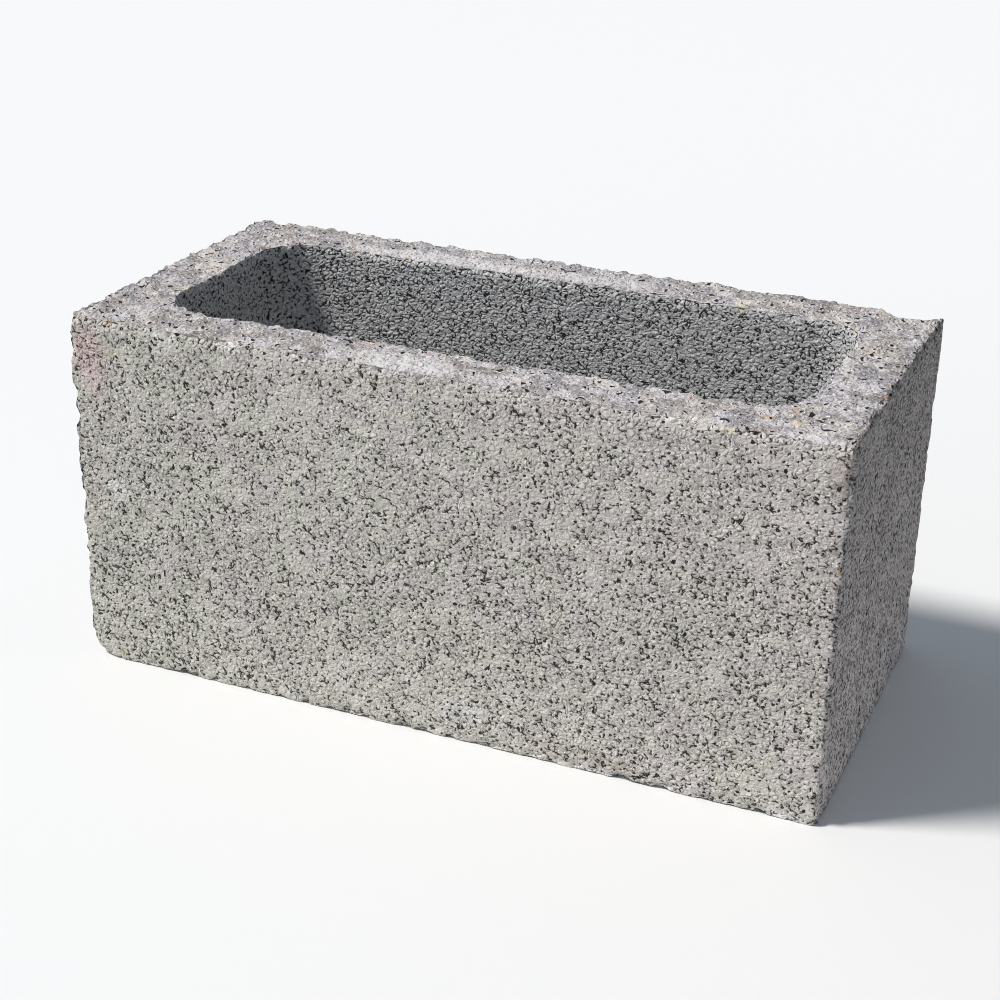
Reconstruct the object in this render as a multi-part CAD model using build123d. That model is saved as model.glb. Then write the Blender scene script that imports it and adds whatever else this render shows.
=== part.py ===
from build123d import *
from math import atan, degrees
import os

# Hollow concrete block, pressed from a dry mix in one mould: four walls around one core.
# Millimetres, +Z up. The origin is the centre of the bed face, and +X runs along the length.

# The block's outer size is the modular 400 x 200 x 200 less its mortar joints.
block_length = 390.0
block_width = 190.0
block_height = 188.0
arris_radius = 2.0         # outer edges, as the mould and handling leave them

# The core runs right through. Its corners are rounded, and it narrows downwards so that it can be drawn.
end_wall = 32.0            # wall at each end, at the top face
side_wall = 32.0           # wall along each side, at the top face
core_corner_radius = 25.0  # upright corners of the core, at the top face
core_draft = 3.0           # how much thicker each wall is at the bed face than at the top face
rim_radius = 2.5           # worn edge where the core meets the top and bed faces


def blank():
    full = Box(block_length, block_width, block_height, align=(Align.CENTER, Align.CENTER, Align.MIN))
    return fillet(full.edges(), arris_radius)


def core():
    core_length = block_length - 2 * end_wall
    core_width = block_width - 2 * side_wall
    mouth = Pos(0, 0, block_height) * RectangleRounded(core_length, core_width, core_corner_radius)
    draft_angle = degrees(atan(core_draft / block_height))
    return extrude(mouth, amount=-block_height, taper=draft_angle)


def concrete_block():
    block = blank() - core()
    faces = block.faces().sort_by(Axis.Z)
    rims = [edge for face in (faces[0], faces[-1]) for wire in face.inner_wires() for edge in wire.edges()]
    return fillet(rims, rim_radius)


os.makedirs("parts", exist_ok=True)
export_step(concrete_block(), "parts/concrete_block.step")
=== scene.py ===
from math import pi, radians

import bpy
from mathutils import Matrix, Vector


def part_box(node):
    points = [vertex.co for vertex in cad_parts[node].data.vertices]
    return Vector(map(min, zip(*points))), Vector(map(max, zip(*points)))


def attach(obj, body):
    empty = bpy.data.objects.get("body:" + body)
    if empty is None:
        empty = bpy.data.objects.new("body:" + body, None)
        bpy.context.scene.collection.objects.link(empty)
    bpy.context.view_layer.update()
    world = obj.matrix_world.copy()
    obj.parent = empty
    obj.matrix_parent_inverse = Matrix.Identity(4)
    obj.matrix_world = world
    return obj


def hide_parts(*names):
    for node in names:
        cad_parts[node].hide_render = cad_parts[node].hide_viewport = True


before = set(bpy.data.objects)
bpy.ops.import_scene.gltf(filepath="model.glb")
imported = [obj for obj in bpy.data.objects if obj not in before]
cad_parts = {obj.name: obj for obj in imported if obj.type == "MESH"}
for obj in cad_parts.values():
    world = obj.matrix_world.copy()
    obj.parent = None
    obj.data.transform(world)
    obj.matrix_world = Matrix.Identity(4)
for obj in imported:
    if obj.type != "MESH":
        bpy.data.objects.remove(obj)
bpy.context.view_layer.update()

mm = 0.001
touch = mm / 10  # how near counts as lying on a face
noiseMiddle = 0.5  # a noise runs from 0 to 1, about this
blockLow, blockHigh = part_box("concrete_block")
blockSize = blockHigh - blockLow


class Wire:  # one socket of a node tree: maths on it adds the nodes

    def __init__(self, tree, socket=None):
        self.tree = tree
        self.socket = socket

    def node(self, kind, settings=None, values=None, out=0):
        made = self.tree.nodes.new(kind)
        for name, value in (settings or {}).items():
            setattr(made, name, value)
        for key, value in (values or {}).items():
            if isinstance(value, Wire):
                self.tree.links.new(value.socket, made.inputs[key])
            else:
                made.inputs[key].default_value = value
        return Wire(self.tree, made.outputs[out])

    def math(self, operation, first, second=0.0):
        return self.node("ShaderNodeMath", {"operation": operation}, {0: first, 1: second})

    def __add__(self, other):
        return self.math("ADD", self, other)

    def __radd__(self, other):
        return self.math("ADD", other, self)

    def __sub__(self, other):
        return self.math("SUBTRACT", self, other)

    def __rsub__(self, other):
        return self.math("SUBTRACT", other, self)

    def __mul__(self, other):
        return self.math("MULTIPLY", self, other)

    def __rmul__(self, other):
        return self.math("MULTIPLY", other, self)

    def __truediv__(self, other):
        return self.math("DIVIDE", self, other)

    def __abs__(self):
        return self.math("ABSOLUTE", self)

    def atLeast(self, other):
        return self.math("MAXIMUM", self, other)

    def atMost(self, other):
        return self.math("MINIMUM", self, other)

    def rise(self, low, high):  # 0 below low, 1 above high, smooth between
        settings = {"interpolation_type": "SMOOTHSTEP"}
        return self.node("ShaderNodeMapRange", settings, {"Value": self, "From Min": low, "From Max": high})

    def fall(self, low, high):
        return 1.0 - self.rise(low, high)

    def vector(self, operation, other):
        return self.node("ShaderNodeVectorMath", {"operation": operation}, {0: self, 1: other})

    def scaled(self, factor):
        return self.node("ShaderNodeVectorMath", {"operation": "SCALE"}, {0: self, 3: factor})

    def length(self):
        return self.node("ShaderNodeVectorMath", {"operation": "LENGTH"}, {0: self}, out="Value")

    def mixColour(self, first, second):  # self is the share of the second
        return self.node("ShaderNodeMix", {"data_type": "RGBA"}, {0: self, 6: first, 7: second}, out=2)

    def tinted(self, tint):  # self is a colour
        settings = {"data_type": "RGBA", "blend_type": "MULTIPLY"}
        return self.node("ShaderNodeMix", settings, {0: 1.0, 6: self, 7: tint}, out=2)

    def axes(self):
        split = self.node("ShaderNodeSeparateXYZ", None, {0: self}).socket.node
        return [Wire(self.tree, socket) for socket in split.outputs]

    def noise(self, size, detail=0.0, out=0):  # self is a place in mm, size the width of a blot
        values = {"Vector": self, "Scale": 1 / size, "Detail": detail}
        return self.node("ShaderNodeTexNoise", {"noise_dimensions": "3D"}, values, out)

    def cells(self, size, feature="F1"):  # self is a place in mm, size the width of a grain
        values = {"Vector": self, "Scale": 1 / size, "Randomness": 1.0}
        return self.node("ShaderNodeTexVoronoi", {"voronoi_dimensions": "3D", "feature": feature}, values)

    def seams(self, size):  # distance in mm from the nearest seam between two grains
        return self.cells(size, "DISTANCE_TO_EDGE") * size

    def twin(self, out):  # another output of the same node
        return Wire(self.tree, self.socket.node.outputs[out])


def deselect():
    if bpy.context.object and bpy.context.object.mode != "OBJECT":
        bpy.ops.object.mode_set(mode="OBJECT")
    bpy.ops.object.select_all(action="DESELECT")


def addCube(name, low, high):
    deselect()
    bpy.ops.mesh.primitive_cube_add(size=1.0, location=(low + high) / 2)
    made = bpy.context.object
    made.name = name
    made.data.name = name
    made.scale = high - low
    bpy.ops.object.transform_apply(location=True, rotation=True, scale=True)
    return made


def pick(piece, kind, parts, test):
    bpy.ops.object.mode_set(mode="EDIT")
    bpy.ops.mesh.select_mode(type=kind)
    bpy.ops.mesh.select_all(action="DESELECT")
    bpy.ops.object.mode_set(mode="OBJECT")
    for part in getattr(piece.data, parts):
        part.select = test(part)
    bpy.ops.object.mode_set(mode="EDIT")


def pickVertices(piece, test):
    pick(piece, "VERT", "vertices", lambda vertex: test(vertex.co))


def pickEdges(piece, test):
    pick(piece, "EDGE", "edges", lambda edge: test(*[piece.data.vertices[end].co for end in edge.vertices]))


def finishWith(piece, kind, settings):
    deselect()
    piece.select_set(True)
    bpy.context.view_layer.objects.active = piece
    bpy.ops.object.modifier_add(type=kind)
    modifier = piece.modifiers[-1]
    for name, value in settings.items():
        setattr(modifier, name, value)
    bpy.ops.object.modifier_apply(modifier=modifier.name)


def cutAway(piece, cutter):
    finishWith(piece, "BOOLEAN", {"operation": "DIFFERENCE", "object": cutter, "solver": "EXACT"})
    deselect()
    cutter.select_set(True)
    bpy.ops.object.delete()


# The block: a cube with a core cut through it, remeshed finely and given its relief.
blockForm = {
    "arris": 2.0 * mm,
    "arrisSteps": 3,
    "wornSteps": 4,
    "spallSteps": 4,
    "endWall": 32.0 * mm,
    "sideWall": 32.0 * mm,
    "coreCorner": 25.0 * mm,
    "coreDraft": 3.0 * mm,
    "coreSteps": 12,
    "overrun": 10.0 * mm,
    "voxel": 1.1 * mm,
    "triangles": 196000,
}

wornCorners = {  # corner of the block, as signs of x, y and z: how far it is rounded
    (-1, -1, -1): 19.0 * mm,
    (-1, -1, 1): 11.0 * mm,
    (-1, 1, 1): 7.0 * mm,
    (1, 1, -1): 4.0 * mm,
}

spalls = [  # broken edges: nearest corner, how far the middle lies from it, half sizes
    {"corner": (1, 1, 1), "from": (-16 * mm, 5 * mm, 8.5 * mm), "half": (20 * mm, 20 * mm, 16 * mm)},
    {"corner": (-1, 1, 1), "from": (14 * mm, 3 * mm, 3 * mm), "half": (6 * mm, 9 * mm, 6 * mm)},
]


def cornerPlace(signs):
    middle = (blockLow + blockHigh) / 2
    return middle + Vector([sign * size / 2 for sign, size in zip(signs, blockSize)])


def onArris(first, second):  # the foot's edges stay sharp
    faces = sum(
        abs(first[axis] - side[axis]) < touch and abs(second[axis] - side[axis]) < touch
        for axis in range(3)
        for side in (blockLow, blockHigh)
    )
    return faces > 1 and max(first.z, second.z) > blockLow.z + mm


def buildBlank():
    blank = addCube("concreteBlock", blockLow, blockHigh)
    for signs, radius in wornCorners.items():
        corner = cornerPlace(signs)
        pickVertices(blank, lambda place: (place - corner).length < mm)
        bpy.ops.mesh.bevel(offset=radius, segments=blockForm["wornSteps"], profile=0.5, affect="VERTICES")
    pickEdges(blank, onArris)
    arris, steps = blockForm["arris"], blockForm["arrisSteps"]
    bpy.ops.mesh.bevel(offset=arris, segments=steps, profile=0.5, affect="EDGES")
    deselect()
    return blank


def buildCore():
    walls = Vector((blockForm["endWall"], blockForm["sideWall"], -blockForm["overrun"]))
    core = addCube("core", blockLow + walls, blockHigh - walls)
    pickEdges(core, lambda first, second: abs(first.z - second.z) > blockSize.z / 2)
    bpy.ops.mesh.bevel(offset=blockForm["coreCorner"], segments=blockForm["coreSteps"], affect="EDGES")
    pickVertices(core, lambda place: place.z < blockLow.z)
    mouth = blockSize - 2 * Vector((blockForm["endWall"], blockForm["sideWall"], 0))
    draft = 2 * blockForm["coreDraft"]
    bpy.ops.transform.resize(value=(1 - draft / mouth.x, 1 - draft / mouth.y, 1))
    deselect()
    return core


def buildSpall(spall):
    deselect()
    place = cornerPlace(spall["corner"]) + Vector(spall["from"])
    steps = blockForm["spallSteps"]
    bpy.ops.mesh.primitive_ico_sphere_add(subdivisions=steps, radius=1.0, location=place)
    made = bpy.context.object
    made.scale = spall["half"]
    bpy.ops.object.transform_apply(location=True, rotation=True, scale=True)
    return made


def surfaces(place, reach):
    # How near a place in mm is to each of the block's surfaces, 1 on it and 0 beyond the reach.
    x, y, z = place.axes()
    length, width, height = blockSize / mm
    wallX, wallY, corner, draft = [
        blockForm[name] / mm for name in ("endWall", "sideWall", "coreCorner", "coreDraft")
    ]
    drawn = draft * (1.0 - z / height)
    radius = corner - drawn
    overX = abs(x) - (length / 2 - wallX - corner)
    overY = abs(y) - (width / 2 - wallY - corner)
    outX = overX.atLeast(0.0)
    outY = overY.atLeast(0.0)
    outside = place.math("SQRT", outX * outX + outY * outY)
    fromCore = abs(outside + overX.atLeast(overY).atMost(0.0) - radius)
    return {
        "end": (length / 2 - abs(x)).fall(0.0, reach),
        "side": (width / 2 - abs(y)).fall(0.0, reach),
        "top": (height - z).fall(0.0, reach),
        "bed": z.fall(0.0, reach),
        "core": fromCore.fall(0.0, reach),
    }


def edgeNearness(near):
    both = near["end"] + near["side"] + near["top"] + near["bed"] + near["core"] - 1.0
    return both.atLeast(0.0)


stoneColours = {
    "tan": (0.60, 0.44, 0.25, 1),
    "orange": (0.58, 0.41, 0.29, 1),
    "yellow": (0.62, 0.57, 0.40, 1),
    "cream": (0.78, 0.69, 0.52, 1),
    "pink": (0.60, 0.44, 0.41, 1),
    "red": (0.40, 0.22, 0.18, 1),
    "olive": (0.52, 0.52, 0.36, 1),
    "white": (0.88, 0.86, 0.83, 1),
}

stones = [  # stones that show their own colour: colour, middle in mm, radius in mm
    ("orange", (-172.6, -94.0, 187.0), 2.6),
    ("tan", (-169.9, -95.0, 171.2), 2.2),
    ("cream", (-162.0, -33.0, 187.0), 3.5),
    ("tan", (-172.0, 2.7, 188.0), 2.6),
    ("white", (-163.7, 17.6, 188.0), 2.4),
    ("cream", (-133.0, 93.0, 187.5), 3.4),
    ("tan", (-119.7, 65.0, 184.8), 2.9),
    ("tan", (-110.5, 65.0, 185.0), 2.2),
    ("red", (-105.0, 65.0, 186.5), 1.8),
    ("orange", (-88.6, 65.0, 187.0), 2.6),
    ("pink", (-175.0, 94.5, 187.0), 3.0),
    ("pink", (-152.8, 60.9, 187.5), 3.0),
    ("yellow", (98.3, 65.0, 186.0), 3.5),
    ("tan", (105.7, 65.0, 171.7), 2.4),
    ("yellow", (166.5, 89.0, 187.0), 3.0),
    ("orange", (155.7, 87.3, 188.0), 1.8),
    ("olive", (158.1, 55.8, 187.5), 3.2),
    ("orange", (172.5, 25.5, 188.0), 2.2),
    ("pink", (183.3, -32.6, 188.0), 2.6),
    ("orange", (193.0, -27.6, 187.0), 2.8),
    ("tan", (151.5, -75.4, 188.0), 3.4),
    ("orange", (160.8, -63.8, 187.5), 3.0),
    ("pink", (136.0, -73.3, 188.0), 2.8),
    ("cream", (165.1, -78.1, 188.0), 2.6),
    ("yellow", (140.0, -94.5, 184.8), 2.4),
    ("yellow", (149.9, -95.0, 183.4), 1.9),
    ("red", (-3.4, -95.0, 177.0), 1.6),
    ("tan", (192.7, -95.0, 129.4), 1.9),
    ("tan", (194.0, -94.5, 121.2), 1.9),
    ("cream", (154.7, -95.0, 25.7), 2.3),
    ("cream", (145.7, -95.0, 23.9), 1.9),
    ("white", (188.5, -95.0, 47.3), 1.8),
    ("tan", (-169.0, -95.0, 17.6), 2.2),
    ("tan", (-176.0, -94.0, 5.0), 2.3),
    ("tan", (-42.2, -69.4, 188.0), 2.6),
    ("pink", (-47.5, -70.4, 188.0), 2.8),
    ("red", (-13.1, -67.0, 187.5), 1.8),
    ("pink", (115.4, -70.0, 187.5), 2.8),
]

smearColours = {
    "milk": (0.655, 0.63, 0.625, 1),
    "chalk": (0.80, 0.775, 0.76, 1),
    "rose": (0.68, 0.51, 0.49, 1),
    "umber": (0.42, 0.32, 0.28, 1),
}

smears = [  # paste, dust and stain: colour, middle in mm, half sizes in mm, how much of it covers
    ("milk", (-16.0, -86.0, 188.0), (33.0, 14.0, 5.0), 0.8),
    ("milk", (26.0, -89.0, 188.0), (20.0, 8.0, 4.0), 0.45),
    ("milk", (-60.0, 71.0, 188.0), (80.0, 10.0, 4.0), 0.75),
    ("milk", (24.0, 74.0, 188.0), (34.0, 10.0, 4.0), 0.6),
    ("milk", (177.0, -93.0, 187.5), (24.0, 6.0, 3.0), 0.75),
    ("chalk", (113.0, -94.5, 186.0), (8.0, 3.0, 1.8), 0.7),
    ("chalk", (-104.0, -95.0, 184.5), (6.0, 4.0, 5.0), 0.7),
    ("chalk", (-144.0, -95.0, 185.0), (6.0, 4.0, 4.0), 0.5),
    ("chalk", (-135.8, -95.0, 179.0), (5.0, 4.0, 7.0), 0.4),
    ("milk", (-167.7, -75.5, 188.0), (14.0, 9.0, 4.0), 0.5),
    ("chalk", (17.0, -95.0, 16.0), (13.0, 5.0, 9.0), 0.6),
    ("chalk", (-171.5, -95.0, 98.0), (9.0, 5.0, 9.0), 0.55),
    ("chalk", (86.0, -95.0, 2.0), (16.0, 5.0, 4.0), 0.5),
    ("chalk", (128.0, -95.0, 4.0), (13.0, 5.0, 4.0), 0.5),
    ("chalk", (177.5, -95.0, 2.5), (10.0, 5.0, 4.0), 0.6),
    ("chalk", (186.0, -94.5, 2.0), (8.0, 5.0, 3.5), 0.6),
    ("chalk", (194.5, -94.0, 166.0), (3.5, 3.5, 24.0), 0.5),
    ("rose", (-184.0, -94.5, 168.0), (11.0, 7.0, 18.0), 0.65),
    ("rose", (-182.0, -94.5, 151.0), (8.0, 6.0, 10.0), 0.4),
    ("umber", (190.5, -95.0, 174.0), (6.0, 5.0, 13.0), 0.45),
    ("umber", (62.0, -95.0, 8.0), (13.0, 5.0, 5.0), 0.3),
    ("umber", (92.0, -95.0, 7.0), (18.0, 5.0, 4.0), 0.4),
]

smearEdge = (0.5, 1.2)  # where a smear starts to thin and where it ends, in half sizes


def smearCover(place, name):
    # How much of a smear lies at a place in mm, 0 to 1, from all the smears of that name.
    most = None
    for kind, middle, half, share in smears:
        if kind == name:
            away = place.vector("SUBTRACT", middle).vector("DIVIDE", half).length()
            cover = away.fall(*smearEdge) * share
            most = cover if most is None else most.atLeast(cover)
    return most


def nearestStone(place):
    # Distance in mm from the surface of the nearest stone, negative inside it, and its colour.
    far = None
    for kind, middle, radius in stones:
        away = place.vector("SUBTRACT", middle).length() - radius
        if far is None:
            far = away
            shown = stoneColours[kind]
        else:
            shown = far.math("LESS_THAN", away, far).mixColour(shown, stoneColours[kind])
            far = far.atMost(away)
    return far, shown


fieldForm = {  # what changes slowly over the faces: places and widths are in mm
    "reach": 3.0,
    "blotSize": 12.0,
    "softSize": 5.0,
    "hueSize": 22.0,
    "pebble": 8.0,
    "pebbleRim": (0.2, 1.6),  # the rim of a pebble, out from its seam
    "lipRagged": 1.5,
    "lip": (1.2, 1.9),
    "crest": (110.0, 187.0),  # heights from which the faces close up
    "paintedBounce": (0.0, 70.0),  # heights up to which they are paler, painted bounce light from the floor
    "left": (-180.0, -60.0),  # places along the block up to which they are duller
    "crestPlate": 0.09,
    "plate": (0.64, 0.70),  # which pebbles are smooth plates
    "looser": {  # how far each opens the seams, or closes them
        "blot": 0.12, "top": -0.12, "core": 0.03, "end": -0.02, "lip": -0.08, "crest": -0.025, "left": 0.018,
    },
    "castLight": 0.37,
    # castTone pales the faces low down: painted bounce light from the floor
    "castTone": {"pebbleTone": 0.2, "blot": 0.15, "paintedBounce": 0.26, "left": -0.10, "plate": -0.12},
    "tornTone": {"soft": 0.9, "pebbleTone": 0.5, "blot": 0.8},
    "castHue": {"hue": 1.4, "along": 0.0013, "up": 0.002, "pebbleHue": 0.7},
    "flat": {"core": 0.6, "top": 0.5},  # where the grains stand out less
    "flatPlate": 0.5,
    "leastRound": 0.15,
}


def packedPlace(place):
    # The place in mm as the grains lie in it: packed down, then bent so that no seam is straight.
    packed = place.vector("MULTIPLY", concreteLook["packing"])
    bend = packed.noise(concreteLook["bendSize"], out=1).vector("SUBTRACT", [noiseMiddle] * 3)
    return packed, packed.vector("ADD", bend.scaled(concreteLook["bend"]))


def weighted(fields, weights):
    total = None
    for name, weight in weights.items():
        part = fields[name] * weight
        total = part if total is None else total + part
    return total


def castFields(place):
    # What the finish reads at each point: where it lay before the relief, and what changes slowly.
    form = fieldForm
    x, _, z = place.axes()
    near = surfaces(place, form["reach"])
    top, end, core = near["top"], near["end"], near["core"]
    bent = packedPlace(place)[1]
    pebbleTone, pebbleHue, pebbleKind = bent.cells(form["pebble"]).twin("Color").axes()
    soft = place.noise(form["softSize"], 1.0)
    # the strip along the edges and the mouth, which gets a painted highlight
    lip = (edgeNearness(near) + soft * form["lipRagged"]).rise(*form["lip"])
    crest = z.rise(*form["crest"]) * (1.0 - core)
    plate = (pebbleKind + crest * form["crestPlate"]).rise(*form["plate"]) * (1.0 - top.atLeast(core))
    fields = {
        "top": top,
        "end": end,
        "core": core,
        "lip": lip,
        "crest": crest,
        "paintedBounce": z.fall(*form["paintedBounce"]),
        "left": x.fall(*form["left"]),
        "along": x,
        "up": z - blockSize.z / mm / 2,
        "plate": plate,
        "pebbleTone": pebbleTone,
        "pebbleHue": pebbleHue,
        "soft": soft,
        "blot": place.noise(form["blotSize"], 1.0) - noiseMiddle,
        "hue": place.noise(form["hueSize"], 1.0) - noiseMiddle,
    }
    rounded = (1.0 - weighted(fields, form["flat"])).atLeast(form["leastRound"])
    far, shown = nearestStone(place)
    kept = {
        "castPosition": place,
        "torn": top,
        "endFace": end,
        "coreWall": core,
        "lip": lip,
        "soft": soft,
        "plate": plate,
        "pebbleRim": bent.seams(form["pebble"]).fall(*form["pebbleRim"]),
        "looser": weighted(fields, form["looser"]),
        "castTone": weighted(fields, form["castTone"]) + form["castLight"],
        "tornTone": weighted(fields, form["tornTone"]),
        "castHue": weighted(fields, form["castHue"]),
        "tornHue": pebbleHue,
        "rounded": rounded * (1.0 - plate * form["flatPlate"]),
        "stoneAway": far,
        "stoneColour": shown,
    }
    for name in smearColours:
        kept[name] = smearCover(place, name)
    return kept


reliefForm = {  # dents: width in mm, detail, where the noise starts and ends, depth in mm
    "slow": (45.0, 0.0, 0.25, 0.75, 0.4),
    "swell": (9.0, 1.0, 0.30, 0.70, 0.4),
    "broken": (8.0, 2.0, 0.44, 0.76, 3.0),
    "lumps": (5.0, 1.0, 0.25, 0.75, 1.6),
    "edgeReach": 6.0,
    "coreCalm": 0.3,
    "least": 0.03,
}


def dents(place, name, cover=None):
    size, detail, low, high, depth = reliefForm[name]
    hollow = place.noise(size, detail).rise(low, high)
    if cover is not None:
        hollow = hollow * cover
    return hollow * depth


def reliefGroup():
    tree = bpy.data.node_groups.new("castRelief", "GeometryNodeTree")
    for way in ("INPUT", "OUTPUT"):
        tree.interface.new_socket("Geometry", in_out=way, socket_type="NodeSocketGeometry")
    start = Wire(tree)
    mesh = start.node("NodeGroupInput")
    normal = start.node("GeometryNodeInputNormal")
    place = start.node("GeometryNodeInputPosition").scaled(1 / mm)
    kinds = {"castPosition": "FLOAT_VECTOR", "stoneColour": "FLOAT_COLOR"}
    for name, value in castFields(place).items():
        settings = {"data_type": kinds.get(name, "FLOAT"), "domain": "POINT"}
        values = {"Geometry": mesh, "Name": name, "Value": value}
        mesh = start.node("GeometryNodeStoreNamedAttribute", settings, values)

    near = surfaces(place, reliefForm["edgeReach"])
    calm = 1.0 - near["core"] * reliefForm["coreCalm"]
    worn = dents(place, "slow") + dents(place, "swell") + dents(place, "broken", edgeNearness(near))
    depth = worn * calm + dents(place, "lumps", near["top"]) + reliefForm["least"]
    offset = normal.scaled(depth * -mm)
    moved = start.node("GeometryNodeSetPosition", None, {"Geometry": mesh, "Offset": offset})
    result = tree.nodes.new("NodeGroupOutput")
    tree.links.new(moved.socket, result.inputs[0])
    return tree


def buildBlock():
    block = buildBlank()
    cutAway(block, buildCore())
    for spall in spalls:
        cutAway(block, buildSpall(spall))
    print("block cut:", len(block.data.polygons), "faces")
    finishWith(block, "REMESH", {"mode": "VOXEL", "voxel_size": blockForm["voxel"]})
    print("block remeshed:", len(block.data.polygons), "faces")
    finishWith(block, "NODES", {"node_group": reliefGroup()})
    finishWith(block, "TRIANGULATE", {})
    share = blockForm["triangles"] / len(block.data.polygons)
    finishWith(block, "DECIMATE", {"decimate_type": "COLLAPSE", "ratio": share})
    bpy.ops.object.shade_smooth()
    print("block finished:", len(block.data.polygons), "triangles")
    return block


concreteLook = {
    "packing": (0.94, 0.94, 1.12),  # how the grains are squeezed along x, y and z
    "bendSize": 2.0,  # width and depth in mm of the waves in the seams
    "bend": 1.6,
    "grain": 2.7,  # width in mm
    "grainOpen": (1.7, 0.552, 0.69),  # width in mm of the blots where seams open, from shut to wide
    "grainGap": 0.42,  # half width in mm of a wide seam
    "pebbleOpen": (2.8, 0.50, 0.63),
    "parting": 0.14,  # how far the rim of a pebble opens the seams
    "coreShut": 0.05,
    "plateCalm": 0.06,
    "pit": 0.74,
    "pitSteep": 15.0,
    "tornPit": 0.04,
    "milkFills": (0.2, 0.7),  # how thick the paste is where it fills the gaps
    "pocketPacking": (1.0, 0.9, 1.1),  # the open pockets of the ends, painted dark as the shade inside them
    "pocketSize": 2.4,
    "pocket": (0.50, 0.80),
    "pocketShade": 0.85,
    "poreShade": (0.15, 0.85),  # how deep a gap is where painted shade darkens it
    "deep": 2.0,  # depth of the gaps in mm
    "lineWidth": 0.35,  # the shut seams, drawn as lines
    "line": 0.30,
    "domeWidth": 1.1,  # the rounded rim of a grain, and its height
    "dome": 1.4,
    "domeSeat": 0.35,
    "fine": 0.5,
    "tornLump": 1.5,
    "sandSize": 0.7,
    "sand": (0.04, 0.96),
    "coreSand": 0.8,
    "plateEven": 0.5,
    "white": (0.68, 0.78),  # the brightest sand, partly pale grains and partly painted glints
    "coreWhite": 0.06,
    "tornCrumb": 0.8,
    "tornClump": 0.7,
    "tornLight": (0.85, 2.05),
    "lipHighlightCover": 0.55,
    "castHue": (-0.15, 0.85),
    "tornHue": (0.2, 0.8),
    "patchy": 1.5,
    "crumbPatchy": 0.5,
    "stoneRagged": 2.0,
    "stoneEdge": (-0.9, 0.6),
    "stoneCover": 0.65,
    "dull": (0.535, 0.511, 0.482, 1),
    "pale": (0.709, 0.678, 0.642, 1),
    "speckAndGlint": (0.90, 0.88, 0.86, 1),
    # painted highlight: the pale colour of the edges, as where they catch the light
    "lip": (0.80, 0.775, 0.755, 1),
    "tornDull": (0.24, 0.23, 0.229, 1),
    "tornPale": (0.65, 0.626, 0.621, 1),
    # painted shade: the near-black that stands in for the shade inside gaps and pores
    "poreShadeColour": (0.03, 0.029, 0.028, 1),
    "rosy": (1.01, 0.975, 0.985, 1),  # tints from here on
    "mossy": (1.0, 1.01, 0.945, 1),
    # painted shade: the end faces darker and bluer, as they look in shade
    "endShade": (0.69, 0.68, 0.716, 1),
    # painted shade: the core walls darker and bluer, as they look in shade
    "coreShade": (0.85, 0.875, 0.918, 1),
    "sandy": (1.03, 0.987, 0.945, 1),
    "cool": (0.995, 0.978, 1.025, 1),
    "roughness": 0.92,
    "sheen": 0.2,
}


def grainFields(kept):
    # Grains packed down, with seams that open into gaps here and there, most of all round a pebble.
    look = concreteLook
    place = kept("castPosition", "Vector")
    looser = kept("looser")
    packed, bent = packedPlace(place)
    seam = bent.seams(look["grain"])
    size, shut, wide = look["pebbleOpen"]
    clump = packed.noise(size)
    parted = (clump + looser - kept("coreWall") * look["coreShut"]).rise(shut, wide)
    parted = parted * kept("pebbleRim") * look["parting"]
    size, shut, wide = look["grainOpen"]
    crumb = packed.noise(size)
    opened = (crumb + looser + parted - kept("plate") * look["plateCalm"]).rise(shut, wide)
    crack = opened - seam / look["grainGap"]
    pit = (clump + kept("torn") * look["tornPit"] - look["pit"]) * look["pitSteep"]
    depth = crack.atLeast(pit).atLeast(0.0).atMost(1.0)
    pocket = place.vector("MULTIPLY", look["pocketPacking"]).noise(look["pocketSize"])
    return {
        "sand": place.noise(look["sandSize"]),
        "clump": clump,
        "crumb": crumb,
        "seam": seam,
        "depth": depth * kept("milk").fall(*look["milkFills"]),
        # painted shade inside the open pockets of the ends
        "pocket": pocket.rise(*look["pocket"]) * kept("endFace") * look["pocketShade"],
    }


def bareColour(kept, grain):
    # Colour of the cast faces and of the torn top, each with its own tints.
    look = concreteLook
    torn = kept("torn")
    core = kept("coreWall")
    even = 1.0 - kept("plate") * look["plateEven"]
    line = grain["seam"].fall(0.0, look["lineWidth"]) * even * look["line"]
    light = (grain["sand"] - noiseMiddle) * (even + core * look["coreSand"]) + kept("castTone")
    light = light.rise(*look["sand"]) - line
    castColour = light.atLeast(0.0).mixColour(look["dull"], look["pale"])
    light = kept("tornTone") + grain["crumb"] * look["tornCrumb"] + grain["clump"] * look["tornClump"]
    tornColour = light.rise(*look["tornLight"]).mixColour(look["tornDull"], look["tornPale"])
    colour = torn.mixColour(castColour, tornColour)
    # bright specks: partly pale grains, partly painted glints
    white = (grain["sand"] + core * look["coreWhite"]).rise(*look["white"])
    colour = white.mixColour(colour, look["speckAndGlint"])
    # painted highlight along the edges and the mouth
    colour = (kept("lip") * look["lipHighlightCover"]).mixColour(colour, look["lip"])
    tint = kept("castHue").rise(*look["castHue"]).mixColour(look["mossy"], look["rosy"])
    # painted shade: the end faces are tinted darker and bluer
    tint = kept("endFace").mixColour(tint, look["endShade"])
    # painted shade: the core walls are tinted darker and bluer
    tint = core.mixColour(tint, look["coreShade"])
    tornTint = kept("tornHue").rise(*look["tornHue"]).mixColour(look["sandy"], look["cool"])
    return colour.tinted(torn.mixColour(tint, tornTint))


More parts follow.
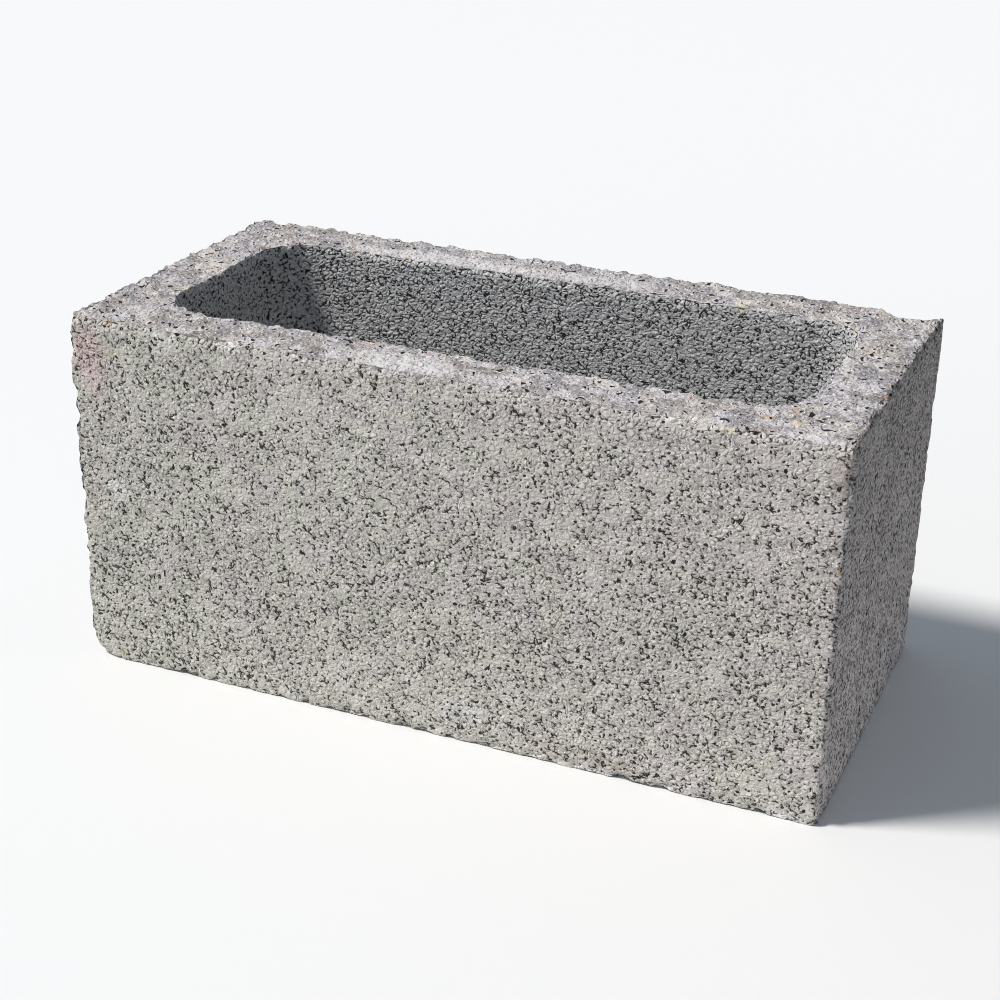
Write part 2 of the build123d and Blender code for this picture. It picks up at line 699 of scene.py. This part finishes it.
def soiledColour(kept, grain, colour):
    # Smears, stones that show their own colour, and painted shade in the gaps and pockets over all.
    look = concreteLook
    clump = grain["clump"] - noiseMiddle
    patchy = (clump + (grain["crumb"] - noiseMiddle) * look["crumbPatchy"]) * look["patchy"]
    for name, smear in smearColours.items():
        cover = kept(name)
        colour = (cover + cover * patchy).rise(0.0, 1.0).mixColour(colour, smear)
    stone = (kept("stoneAway") + clump * look["stoneRagged"]).fall(*look["stoneEdge"])
    colour = (stone * look["stoneCover"]).mixColour(colour, kept("stoneColour", "Color"))
    # painted shade in the gaps and in the open pockets of the ends
    poreShade = grain["depth"].rise(*look["poreShade"]).atLeast(grain["pocket"])
    return poreShade.mixColour(colour, look["poreShadeColour"])


def grainHeight(kept, grain):
    look = concreteLook
    dome = grain["seam"].rise(0.0, look["domeWidth"]) * look["dome"] - grain["crumb"] * look["fine"]
    dome = (dome - look["domeSeat"]) * kept("rounded")
    lumps = grain["clump"] - noiseMiddle + (kept("soft") - noiseMiddle) * look["tornLump"]
    return dome - grain["depth"] * look["deep"] + kept("torn") * lumps


def concreteFinish():
    material = bpy.data.materials.new("openConcrete")
    material.use_nodes = True
    tree = material.node_tree
    shader = tree.nodes["Principled BSDF"]
    start = Wire(tree)

    def kept(name, out="Fac"):  # a field that the relief left on the mesh
        return start.node("ShaderNodeAttribute", {"attribute_name": name}, out=out)

    grain = grainFields(kept)
    colour = soiledColour(kept, grain, bareColour(kept, grain))
    bump = {"Strength": 1.0, "Distance": mm, "Height": grainHeight(kept, grain)}
    normal = start.node("ShaderNodeBump", None, bump)
    tree.links.new(colour.socket, shader.inputs["Base Color"])
    tree.links.new(normal.socket, shader.inputs["Normal"])
    shader.inputs["Roughness"].default_value = concreteLook["roughness"]
    shader.inputs["Specular IOR Level"].default_value = concreteLook["sheen"]
    return material


studio = {
    "floorSize": 16.0,
    "floorColour": (0.82, 0.82, 0.82, 1),
    "floorRoughness": 0.8,
    "cardGap": 0.45,
    "cardSize": 1.2,
    "cardHeight": 0.3,
    "cardColour": (0.05, 0.05, 0.055, 1),
    "cardRoughness": 0.9,
    "keyFrom": (-0.51, -0.26, 0.82),
    "keySpread": 12.0,
    "keyPower": 3.3,
    "keyColour": (1.0, 0.97, 0.93),
    "skyColour": (0.76, 0.87, 1.0, 1),
    "skyStrength": 0.40,
    "backdrop": (0.86, 0.87, 0.88, 1),
    "fillGap": 0.16,
    "fillHeight": 0.02,
    "fillSize": (0.30, 0.03),
    "fillPower": 0.14,
    "pixelFilter": 1.0,
}


def plainFinish(name, colour, roughness):
    material = bpy.data.materials.new(name)
    material.use_nodes = True
    shader = material.node_tree.nodes["Principled BSDF"]
    shader.inputs["Base Color"].default_value = colour
    shader.inputs["Roughness"].default_value = roughness
    return material


def buildFloor():
    deselect()
    bpy.ops.mesh.primitive_plane_add(size=studio["floorSize"], location=(0, 0, blockLow.z))
    floor = bpy.context.object
    floor.name = "studioFloor"
    floor.data.materials.append(plainFinish("paleFloor", studio["floorColour"], studio["floorRoughness"]))


def buildCard():
    # A dark card out of view on the right keeps that end of the block in shade.
    deselect()
    place = (blockHigh.x + studio["cardGap"], 0, studio["cardHeight"])
    bpy.ops.mesh.primitive_plane_add(size=studio["cardSize"], location=place, rotation=(0, -pi / 2, 0))
    card = bpy.context.object
    card.name = "shadeCard"
    card.visible_camera = False
    card.visible_shadow = False
    card.data.materials.append(plainFinish("darkCard", studio["cardColour"], studio["cardRoughness"]))


def buildKey():
    deselect()
    bpy.ops.object.light_add(type="SUN")
    key = bpy.context.object
    key.name = "keyLight"
    key.data.angle = radians(studio["keySpread"])
    key.data.energy = studio["keyPower"]
    key.data.color = studio["keyColour"]
    aim = Vector(studio["keyFrom"]).normalized()
    key.location = aim
    key.rotation_euler = aim.to_track_quat("Z", "Y").to_euler()


def buildFill(block):
    # A low fill brings back the light that the floor's shadow takes from the foot of the right end.
    deselect()
    place = (blockHigh.x + studio["fillGap"], 0, studio["fillHeight"])
    bpy.ops.object.light_add(type="AREA", location=place, rotation=(0, pi / 2, 0))
    fill = bpy.context.object
    fill.name = "fillLight"
    fill.visible_camera = False
    fill.data.shape = "RECTANGLE"
    fill.data.size_y, fill.data.size = studio["fillSize"]
    fill.data.energy = studio["fillPower"]
    lit = bpy.data.collections.new("litByFill")  # the fill lights the block and not the floor
    lit.objects.link(block)
    fill.light_linking.receiver_collection = lit


def buildSky():
    world = bpy.data.worlds.new("studioSky")
    bpy.context.scene.world = world
    world.use_nodes = True
    world.cycles.sampling_method = "NONE"  # so that the card shades the end from the sky
    tree = world.node_tree
    start = Wire(tree)
    light = {"Color": studio["skyColour"], "Strength": studio["skyStrength"]}
    sky = start.node("ShaderNodeBackground", None, light)
    backdrop = start.node("ShaderNodeBackground", None, {"Color": studio["backdrop"]})
    seen = start.node("ShaderNodeLightPath", out="Is Camera Ray")
    shown = start.node("ShaderNodeMixShader", None, {0: seen, 1: sky, 2: backdrop})
    tree.links.new(shown.socket, tree.nodes["World Output"].inputs["Surface"])


shot = {  # where the photograph was taken from, fitted to the block's corners
    "place": (336.9 * mm, -818.9 * mm, 484.7 * mm),
    "azimuth": 22.60,
    "elevation": 24.18,
    "roll": 1.20,
    "lens": 68.0,
    "sensor": 36.0,
}


def buildCamera():
    deselect()
    bpy.ops.object.camera_add()
    camera = bpy.context.object
    camera.name = "photoCamera"
    camera.data.lens = shot["lens"]
    camera.data.sensor_width = shot["sensor"]
    turn = Matrix.Rotation(radians(shot["azimuth"]), 4, "Z")
    tilt = Matrix.Rotation(pi / 2 - radians(shot["elevation"]), 4, "X")
    roll = Matrix.Rotation(radians(shot["roll"]), 4, "Z")
    camera.matrix_world = Matrix.Translation(shot["place"]) @ turn @ tilt @ roll
    bpy.context.scene.camera = camera


block = buildBlock()
block.data.materials.clear()
block.data.materials.append(concreteFinish())
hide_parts("concrete_block")
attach(block, "root")
print("block in place")
buildFloor()
buildCard()
buildKey()
buildFill(block)
buildSky()
buildCamera()
bpy.context.scene.view_settings.view_transform = "Standard"
bpy.context.scene.cycles.filter_width = studio["pixelFilter"]
print("studio ready")
